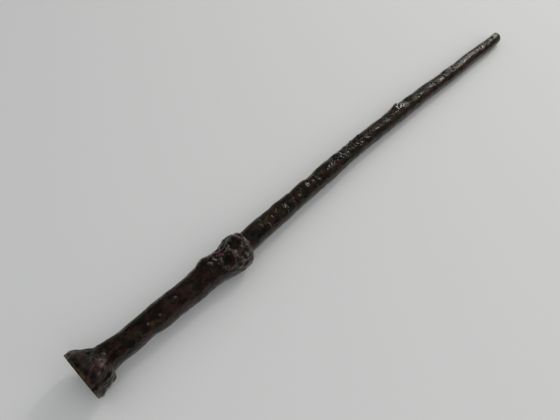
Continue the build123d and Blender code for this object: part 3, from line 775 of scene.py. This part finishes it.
def lacquer(name, base, tipward, rubbed, rub, roughness, coat, grain):
    """Dark lacquer over the base colour, which turns to the tipward colour towards the tip; where that colour is
    lighter, it is painted light. High places are rubbed to the colour rub by the share rubbed, and grain is the scale
    of the finest bumps."""
    made = Lacquer(name)
    broken, fine = made.cloud(420, 0), made.cloud(1100, 3)
    along = made.node("ShaderNodeSeparateXYZ")
    made.links.new(made.place, along.inputs[0])
    # Painted light: the colour turns lighter towards the tip.
    colour = made.mixed(made.between(along.outputs["X"], -0.04, 0.12), base, tipward)
    for key, scale, offset, low, high in STAINS:
        stain = made.between(made.cloud(scale, offset, 0.75), low, high)
        colour = made.mixed(made.maths("MULTIPLY", stain, STAIN_STRENGTH), colour, TINT_COLOURS[key])
    # The rubbed-in tints, among them the painted highlights of pale and cream.
    for key, tint in TINT_COLOURS.items():
        share = made.maths("MULTIPLY", made.stored(key), made.between(broken, 0.36, 0.56), clamp=True)
        colour = made.mixed(share, colour, tint)
    relief = made.stored("relief")
    height = made.maths("ADD", relief, made.maths("MULTIPLY", made.maths("SUBTRACT", fine, 0.5), 0.7))
    colour = made.mixed(made.maths("MULTIPLY", made.between(height, 0.20, 0.70), rubbed), colour, rub)
    # Painted shade: hollows, where the relief is below zero, are darkened towards the dark tint.
    hollow = made.between(made.maths("MULTIPLY", relief, -1.0), 0.08, 0.50)
    colour = made.mixed(made.maths("MULTIPLY", hollow, 0.85), colour, TINT_COLOURS["dark"])
    made.feed(made.shader.inputs["Base Color"], colour)
    uneven = made.maths("MULTIPLY", made.maths("SUBTRACT", broken, 0.5), 0.25)
    dull = made.maths("MULTIPLY", made.stored("dull"), 0.30)
    made.feed(
        made.shader.inputs["Roughness"],
        made.maths("ADD", made.maths("ADD", uneven, dull), roughness, clamp=True),
    )
    made.feed(
        made.shader.inputs["Coat Weight"],
        made.maths("MULTIPLY", made.maths("SUBTRACT", 1.0, made.stored("dull"), clamp=True), coat, clamp=True),
    )
    made.shader.inputs["Coat Roughness"].default_value = 0.10
    made.shader.inputs["Coat IOR"].default_value = 1.45
    made.shader.inputs["Specular IOR Level"].default_value = 0.16
    made.shader.inputs["Sheen Weight"].default_value = 0.05
    made.shader.inputs["Sheen Roughness"].default_value = 0.45
    made.shader.inputs["Sheen Tint"].default_value = (1.0, 0.72, 0.50, 1)
    lumps = made.cloud(grain, 5, 0.45)
    grit = made.maths("MULTIPLY", made.cloud(grain * 2.7, 6, 0.6, 2.0), 0.35)
    made.bump(made.maths("ADD", lumps, grit), 0.5, 0.0003, "Normal")
    made.bump(made.cloud(grain * 0.8, 7, 0.6, 2.0), 0.3, 0.00025, "Coat Normal")
    return made.material


RUBBED_HANDLE, RUBBED_COLLAR, RUBBED_SHAFT = (0.085, 0.050, 0.022), (0.120, 0.085, 0.070), (0.075, 0.062, 0.044)

# name: base, colour towards the tip (lighter there as painted light), rubbed, rub, roughness, coat and grain
LACQUERS = {
    "handle_lacquer": ((0.006, 0.0036, 0.0022), (0.006, 0.0036, 0.0022), 0.16, RUBBED_HANDLE, 0.22, 0.32, 700),
    "collar_lacquer": ((0.007, 0.005, 0.0036), (0.007, 0.005, 0.0036), 0.55, RUBBED_COLLAR, 0.22, 0.44, 800),
    "shaft_lacquer": ((0.008, 0.0062, 0.0038), (0.016, 0.013, 0.0082), 0.5, RUBBED_SHAFT, 0.22, 0.34, 900),
    "knot_lacquer": ((0.0085, 0.007, 0.004), (0.013, 0.0115, 0.0068), 0.5, RUBBED_SHAFT, 0.2, 0.6, 900),
    "tip_lacquer": ((0.032, 0.028, 0.011), (0.032, 0.028, 0.011), 0.55, RUBBED_COLLAR, 0.24, 0.5, 900),
    "stick_wood": ((0.05, 0.03, 0.016), (0.06, 0.038, 0.02), 0.1, TINT_COLOURS["gold"], 0.55, 0.0, 700),
}
MATERIALS = {name: lacquer(name, *look) for name, look in LACQUERS.items()}


# ---------------------------------------------------------------- the wand


def make_butt():
    """The flat butt plate: saw marks and rings on its face, and a rim that follows the pommel's outline."""
    columns = 260
    angle = np.linspace(0, 360, columns, endpoint=False)
    thickness = reach("butt_plate")[1]
    rim = POMMEL.radius(np.full(columns, thickness + 0.05), angle)[0]
    outline = [(0.06, share) for share in np.linspace(0.03, 0.97, 60)]
    outline += [(0.02, 0.985), (0.12, 0.997), (0.4, 1.0), (0.8, 1.0), (thickness, 1.0)]
    distance = np.array([np.full(columns, place) for place, share in outline])
    radius = np.array([share * rim for place, share in outline])
    angles = np.broadcast_to(angle, distance.shape)
    points = at(distance, angles, radius)
    rings = 0.5 + 0.5 * np.sin(radius * 2.4 + 2.2 * noise(points, 7.0, 81))
    saw = noise(points * np.array([1, 0.3, 2.2]), 1.4, 83)
    on_face = radius < rim * 0.965
    relief = (0.14 * rings + 0.08 * saw + 0.12 * rough(points, 5.0, 85)) * on_face
    distance = distance + 0.14 - np.where(on_face, relief * 0.45, 0.12)
    points = at(np.maximum(distance, 0), angles, radius)
    back = at(np.full((1, columns), thickness), angles[:1], np.full((1, columns), 0.35))
    start = at(np.full((1, columns), 0.1), angles[:1], np.full((1, columns), 0.05))
    points = np.concatenate([start, points, back])
    relief = np.concatenate([relief[:1], relief, -np.ones((1, columns))])
    distance = np.concatenate([distance[:1], distance, distance[-1:]])
    angles = np.broadcast_to(angle, distance.shape)
    faces = capped_faces(len(points), columns)
    make_piece("butt_plate_skin", points, faces, relief, distance, angles, "butt_plate", "handle_lacquer")


def make_tip():
    """The rounded tip, shortened by wear on one side, with a rough end."""
    columns = 96
    angle = np.linspace(0, 360, columns, endpoint=False)
    start, end = reach("tip_cap")
    outline = [(start - 1.2, 3.5, 3.4), (start + 0.4, 3.75, 3.7), (start + 3.0, 3.75, 3.7), (end, 3.6, 3.6)]
    distance = np.concatenate([np.linspace(start - 1.2, end, 44), np.full(16, end)])[:, None] + 0 * angle
    angles = np.broadcast_to(angle, distance.shape)
    tipward = (distance - start).clip(0) / (end - start)
    distance = distance - tipward**2 * (0.8 - 0.7 * np.cos(np.radians(angles - 40)))
    bare = bare_radius(outline, distance, angles)
    points = at(distance, angles, bare)
    relief = 0.14 * rough(points, 3.0, 91) + 0.14 * (ridged(points, 2.0, 95) - 0.7)
    shrink = np.concatenate([np.ones(40), [0.985, 0.95, 0.89, 0.80], np.linspace(0.74, 0.03, 16)])[:, None]
    hump = 0.35 * (1 - shrink) + 0.25 * (shrink < 0.8) * noise(points, 1.4, 97)
    points = at(distance + np.minimum(hump, end - distance), angles, (bare + relief) * shrink)
    first = at(np.full((1, columns), start - 1.2), angles[:1], np.full((1, columns), 0.05))
    points = np.concatenate([first, points])
    relief = np.concatenate([relief[:1], relief])
    distance = np.concatenate([distance[:1], distance])
    angles = np.broadcast_to(angle, distance.shape)
    faces = capped_faces(len(points), columns)
    make_piece("tip_cap_skin", points, faces, relief + 0.15, distance, angles, "tip_cap", "tip_lacquer")


def make_front_ring():
    """The lumpy bead where the collar ends and the shaft starts."""
    turn = np.linspace(0, 360, 420, endpoint=False)
    wander = noise(at(106.0, turn, 7.0), 4.0, 101)
    rope("collar_front_ring", "collar_lacquer", 104.7 + 0.35 * wander, turn, 6.7 + 0.3 * wander, 1.3, 7)


# (node, slot, lumps): distance, angle, length, width, height, turn, seed and shave of each lump
LUMPS = [
    ("pommel_lumps", "handle_lacquer", [
        (10.6, 70, 3.0, 2.6, 0.9, 10, 1), (10.9, 115, 3.2, 2.8, 1.1, -20, 2), (11.2, 160, 2.8, 2.6, 1.0, 15, 3),
        (10.9, 205, 3.4, 3.2, 1.0, 0, 4), (10.6, 250, 2.8, 2.6, 0.9, 20, 5), (10.8, 295, 3.0, 2.7, 0.9, 0, 6),
        (10.7, 340, 2.9, 2.8, 0.9, 0, 7),
    ]),
    ("shoulder_bump", "handle_lacquer", [(79.6, 32, 5.8, 6.2, 1.15, 0, 10)]),
    ("knot_lower", "knot_lacquer", [(185.3, 72, 4.8, 3.4, 0.8, 15, 11, (94, 5.9))]),
    ("knot_large", "knot_lacquer", [(244.3, 66, 5.4, 4.6, 1.5, 0, 12, (97, 5.65))]),
    ("knot_upper", "knot_lacquer", [(295.5, 68, 5.2, 3.6, 0.8, 0, 13, (96, 5.0))]),
    ("bead_patch", "knot_lacquer", [
        (194.2, 62, 1.9, 1.4, 0.7, 0, 14), (197.5, 86, 1.7, 1.3, 0.65, 30, 15), (200.5, 50, 2.0, 1.5, 0.7, 0, 16),
        (203.5, 76, 1.8, 1.3, 0.65, -20, 17), (207, 54, 1.9, 1.4, 0.7, 0, 18), (209.5, 84, 1.6, 1.3, 0.6, 20, 19),
    ]),
]

for skin in ALL_SKINS:
    skin.build()
make_butt()
make_tip()
coil("collar_coil_upper", *HOLLOWS[1][:2], radius=4.0, squash=1.0, lean=20, wire=1.1, lift=-0.30, seed=3)
coil("collar_coil_lower", *HOLLOWS[0][:2], radius=4.2, squash=0.95, lean=-10, wire=1.05, lift=-0.35, seed=4)
make_front_ring()
for node, slot, lumps in LUMPS:
    blisters(node, slot, lumps)

stick = frame["nodes"]["core_stick"]
stick.data.materials.clear()
stick.data.materials.append(MATERIALS["stick_wood"])


# ---------------------------------------------------------------- floor, lights and camera


def make_floor():
    """A plain pale floor, just under the wand so that the two don't share a plane."""
    mesh = bpy.data.meshes.new("floor")
    half = 3.0
    mesh.from_pydata([(-half, -half, 0), (half, -half, 0), (half, half, 0), (-half, half, 0)], [], [(0, 1, 2, 3)])
    floor = bpy.data.objects.new("floor", mesh)
    floor.location.z = -0.0002
    bpy.context.scene.collection.objects.link(floor)
    paint = bpy.data.materials.new("floor_paint")
    paint.use_nodes = True
    shader = paint.node_tree.nodes["Principled BSDF"]
    shader.inputs["Base Color"].default_value = (0.66, 0.665, 0.66, 1)
    shader.inputs["Roughness"].default_value = 0.9
    shader.inputs["Specular IOR Level"].default_value = 0.2
    mesh.materials.append(paint)


def softbox(name, toward, distance, width, height, radiance, colour, tall=(0, 0, 1)):
    """A rectangular light that shines on the wand's middle from a direction. Its sizes are angles in degrees, as the
    wand sees it, radiance is its own brightness, and tall is the way that its height runs."""
    lamp = bpy.data.lights.new(name, "AREA")
    lamp.shape = "RECTANGLE"
    lamp.size, lamp.size_y = (2 * distance * tan(radians(angle / 2)) for angle in (width, height))
    lamp.energy = radiance * pi * lamp.size * lamp.size_y
    lamp.color = colour
    holder = bpy.data.objects.new(name, lamp)
    back = Vector(toward).normalized()
    across = Vector(tall).cross(back).normalized()
    turn_to = Matrix((across, back.cross(across), back)).transposed().to_4x4()
    holder.matrix_world = Matrix.Translation(back * distance) @ turn_to
    bpy.context.scene.collection.objects.link(holder)
    return holder


def make_world():
    """Soft light all round, strongest overhead. Reflections see it dimmer, as a dim room with only its lamps
    bright."""
    world = bpy.data.worlds.new("studio")
    world.use_nodes = True
    nodes, links = world.node_tree.nodes, world.node_tree.links
    mirrored = nodes.new("ShaderNodeLightPath").outputs["Is Glossy Ray"]
    dimming = nodes.new("ShaderNodeMapRange")
    dimming.inputs["To Min"].default_value = ROOM_LIGHT
    dimming.inputs["To Max"].default_value = ROOM_LIGHT * MIRRORED_SHARE
    links.new(mirrored, dimming.inputs["Value"])
    height = nodes.new("ShaderNodeSeparateXYZ")
    links.new(nodes.new("ShaderNodeTexCoord").outputs["Generated"], height.inputs[0])
    overhead = nodes.new("ShaderNodeMapRange")
    overhead.inputs["To Min"].default_value = 0.35
    overhead.inputs["To Max"].default_value = 1.35
    links.new(height.outputs["Z"], overhead.inputs["Value"])
    level = nodes.new("ShaderNodeMath")
    level.operation = "MULTIPLY"
    links.new(dimming.outputs[0], level.inputs[0])
    links.new(overhead.outputs[0], level.inputs[1])
    background = nodes["Background"]
    background.inputs["Color"].default_value = (0.97, 0.99, 1.0, 1)
    links.new(level.outputs[0], background.inputs["Strength"])
    bpy.context.scene.world = world


ROOM_LIGHT = 0.53
MIRRORED_SHARE = 0.127  # how bright the room is in reflections, against its light
CAMERA_DISTANCE = 323.3  # from the place that it looks at
CAMERA_BACK = np.array([-0.404, -0.407, 0.819])  # from the wand to the camera, along AXIS, SIDE and UP
AIM_OFFSET = 2.46  # from the wand's straight middle to the place that the camera looks at
CAMERA_AIM = (135.0, AIM_OFFSET * 0.8956, AIM_OFFSET * 0.4451)  # along AXIS, SIDE and UP from the butt's middle
FOCAL_LENGTH, SENSOR_WIDTH = 36.39, 36


def make_camera():
    """The camera stands over the handle and looks at the near third of the wand."""
    wand = np.array([AXIS, SIDE, UP])
    aim = BUTT + np.array(CAMERA_AIM) @ wand
    back = CAMERA_BACK / np.linalg.norm(CAMERA_BACK)
    camera = bpy.data.objects.new("camera", bpy.data.cameras.new("camera"))
    camera.data.sensor_width = SENSOR_WIDTH
    camera.data.lens = FOCAL_LENGTH
    camera.data.clip_start = 0.01
    turn_to = Matrix(wand.T.tolist()).to_4x4() @ Vector(back).to_track_quat("Z", "Y").to_matrix().to_4x4()
    camera.matrix_world = Matrix.Translation(Vector((aim + back @ wand * CAMERA_DISTANCE) * MM)) @ turn_to
    bpy.context.scene.collection.objects.link(camera)
    bpy.context.scene.camera = camera


make_floor()
make_world()
softbox("window", (0.815, 0.14, 0.56), 1.1, 10, 50, 4.6, (1.0, 0.96, 0.90), tall=(0, 0.86, -0.30))
softbox("lamp", (0.72, 0.06, 0.69), 1.0, 5, 5, 52, (1.0, 0.97, 0.93))
softbox("fill", (0.0, -0.72, 0.69), 0.9, 50, 50, 0.85, (1.0, 1.0, 0.98)).visible_glossy = False
make_camera()
bpy.context.scene.view_settings.view_transform = "Standard"
